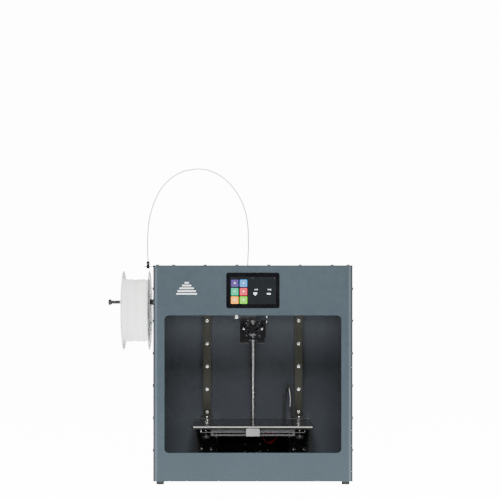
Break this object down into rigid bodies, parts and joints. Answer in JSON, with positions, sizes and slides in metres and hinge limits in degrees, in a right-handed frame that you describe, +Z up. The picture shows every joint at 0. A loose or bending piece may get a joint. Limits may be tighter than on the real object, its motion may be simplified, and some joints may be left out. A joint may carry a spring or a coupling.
{
  "type": "fdm printer",
  "caption": "Desktop filament 3D printer: folded sheet-metal body with an open front and top, lifting bed, belt gantry and a side spool.",
  "frame": {"origin": "on the desk surface, under the middle of the whole printer with its spool, without the free tubes", "axes": "+X towards the printer's right side as seen from the front, +Y towards its rear, +Z up; the front faces -Y"},
  "size_m": [0.6044, 0.4429, 0.7745],
  "materials": {
    "body_coat": "fine-textured powder coat",
    "inner_coat": "dark powder coat",
    "black_plastic": "satin moulded",
    "rubber": "matte",
    "display_glass": "polished",
    "rail_steel": "ground, oiled",
    "bright_steel": "bright",
    "aluminium": "satin",
    "dark_aluminium": "black anodised, speckled",
    "brass": "machined",
    "belt_rubber": "matte",
    "circuit_board": "solder mask",
    "clear_plastic": "clear, glossy",
    "filament": "satin off-white",
    "feed_tube": "translucent white",
    "cable": "matte sleeve"
  },
  "bodies": {
    "frame": {"base_pan": "body_coat", "display_bezel": "black_plastic", "display_glass": "display_glass", "feed_tube_rise": "feed_tube", "foot_front_left": "rubber", "foot_front_right": "rubber", "foot_rear_left": "rubber", "foot_rear_right": "rubber", "front_panel": "body_coat", "guide_fitting": "black_plastic", "left_panel": "body_coat", "main_board": "circuit_board", "power_inlet": "black_plastic", "power_supply": "aluminium", "rear_panel": "body_coat", "right_panel": "body_coat", "spool_rod": "black_plastic", "top_rim": "body_coat", "y_belt_left": "belt_rubber", "y_belt_right": "belt_rubber", "y_motor": "black_plastic", "z_motor": "black_plastic", "z_mounting_plate": "inner_coat", "z_rail_left": "rail_steel", "z_rail_right": "rail_steel"},
    "bed": {"bed_arm_left": "dark_aluminium", "bed_arm_right": "dark_aluminium", "bed_cable": "cable", "bed_crossmember": "black_plastic", "bed_frame": "dark_aluminium", "build_plate": "dark_aluminium", "heater_plate": "aluminium", "z_block_left": "bright_steel", "z_block_right": "bright_steel"},
    "front_clip": {"front_clip": "bright_steel"},
    "knob_left": {"level_knob_left": "black_plastic"},
    "knob_right": {"level_knob_right": "black_plastic"},
    "knob_rear": {"level_knob_rear": "black_plastic"},
    "lead_screw": {"lead_screw": "bright_steel"},
    "y_drive_shaft": {"y_drive_shaft": "bright_steel"},
    "y_idler_left": {"y_idler_left": "aluminium"},
    "y_idler_right": {"y_idler_right": "aluminium"},
    "gantry": {"x_beam": "aluminium", "y_block_left": "bright_steel", "y_block_right": "bright_steel", "x_motor": "black_plastic", "x_belt": "belt_rubber"},
    "x_pulley": {"x_pulley": "aluminium"},
    "x_idler": {"x_idler": "aluminium"},
    "carriage": {"carriage_plate": "dark_aluminium", "extruder_body": "dark_aluminium", "extruder_motor": "black_plastic", "hot_end": "aluminium", "head_cover": "black_plastic", "feed_tube_fall": "feed_tube"},
    "fan_rotor": {"fan_rotor": "black_plastic"},
    "extruder_gear": {"extruder_gear": "brass"},
    "spool": {"spool": "clear_plastic", "filament_winding": "filament"},
    "power_switch": {"power_switch": "black_plastic"}
  },
  "joints": [
    {"name": "bed_lift", "type": "slide", "parent": "frame", "child": "bed", "axis": [0, 0, 1], "range_m": [-0.018, 0.199]},
    {"name": "lead_screw_spin", "type": "hinge", "parent": "frame", "child": "lead_screw", "pos_m": [0.06175, 0.1405, 0.2], "axis": [0, 0, 1], "range_deg": [-8960, 812]},
    {"name": "y_slide", "type": "slide", "parent": "frame", "child": "gantry", "axis": [0, 1, 0], "range_m": [-0.125, 0.108], "deforming": ["feed_tube_rise"]},
    {"name": "y_shaft_spin", "type": "hinge", "parent": "frame", "child": "y_drive_shaft", "pos_m": [0.06175, 0.188, 0.5], "axis": [1, 0, 0], "range_deg": [-1130, 975]},
    {"name": "y_idler_left_spin", "type": "hinge", "parent": "frame", "child": "y_idler_left", "pos_m": [-0.15125, -0.195, 0.5], "axis": [1, 0, 0], "range_deg": [-1130, 975]},
    {"name": "y_idler_right_spin", "type": "hinge", "parent": "frame", "child": "y_idler_right", "pos_m": [0.27475, -0.195, 0.5], "axis": [1, 0, 0], "range_deg": [-1130, 975]},
    {"name": "x_slide", "type": "slide", "parent": "gantry", "child": "carriage", "axis": [1, 0, 0], "range_m": [-0.145, 0.145], "deforming": ["feed_tube_fall"]},
    {"name": "x_pulley_spin", "type": "hinge", "parent": "gantry", "child": "x_pulley", "pos_m": [-0.12625, 0.027, 0.471], "axis": [0, 1, 0], "range_deg": [-1310, 1310]},
    {"name": "x_idler_spin", "type": "hinge", "parent": "gantry", "child": "x_idler", "pos_m": [0.24975, 0.027, 0.471], "axis": [0, 1, 0], "range_deg": [-1310, 1310]},
    {"name": "fan_spin", "type": "hinge", "parent": "carriage", "child": "fan_rotor", "pos_m": [0.06175, -0.04, 0.369], "axis": [0, 1, 0], "continuous": true},
    {"name": "extruder_gear_spin", "type": "hinge", "parent": "carriage", "child": "extruder_gear", "pos_m": [0.05975, -0.0255, 0.429], "axis": [0, 1, 0], "continuous": true},
    {"name": "spool_spin", "type": "hinge", "parent": "frame", "child": "spool", "pos_m": [-0.23005, -0.02, 0.416], "axis": [1, 0, 0], "continuous": true},
    {"name": "front_clip_slide", "type": "slide", "parent": "bed", "child": "front_clip", "axis": [0, -1, 0], "range_m": [0, 0.012]},
    {"name": "power_switch_rock", "type": "hinge", "parent": "frame", "child": "power_switch", "pos_m": [-0.02475, 0.2135, 0.06], "axis": [1, 0, 0], "range_deg": [-16, 0]},
    {"name": "knob_left_turn", "type": "hinge", "parent": "bed", "child": "knob_left", "pos_m": [-0.05325, -0.105, 0.105], "axis": [0, 0, 1], "range_deg": [-360, 360]},
    {"name": "knob_right_turn", "type": "hinge", "parent": "bed", "child": "knob_right", "pos_m": [0.17675, -0.105, 0.105], "axis": [0, 0, 1], "range_deg": [-360, 360]},
    {"name": "knob_rear_turn", "type": "hinge", "parent": "bed", "child": "knob_rear", "pos_m": [0.06175, 0.095, 0.105], "axis": [0, 0, 1], "range_deg": [-360, 360]}
  ],
  "couplings": [
    {"joint": "lead_screw_spin", "follows": "bed_lift", "rad_per_m": -785.4},
    {"joint": "y_shaft_spin", "follows": "y_slide", "rad_per_m": 157.08},
    {"joint": "y_idler_left_spin", "follows": "y_slide", "rad_per_m": 157.08},
    {"joint": "y_idler_right_spin", "follows": "y_slide", "rad_per_m": 157.08},
    {"joint": "x_pulley_spin", "follows": "x_slide", "rad_per_m": 157.08},
    {"joint": "x_idler_spin", "follows": "x_slide", "rad_per_m": 157.08}
  ]
}
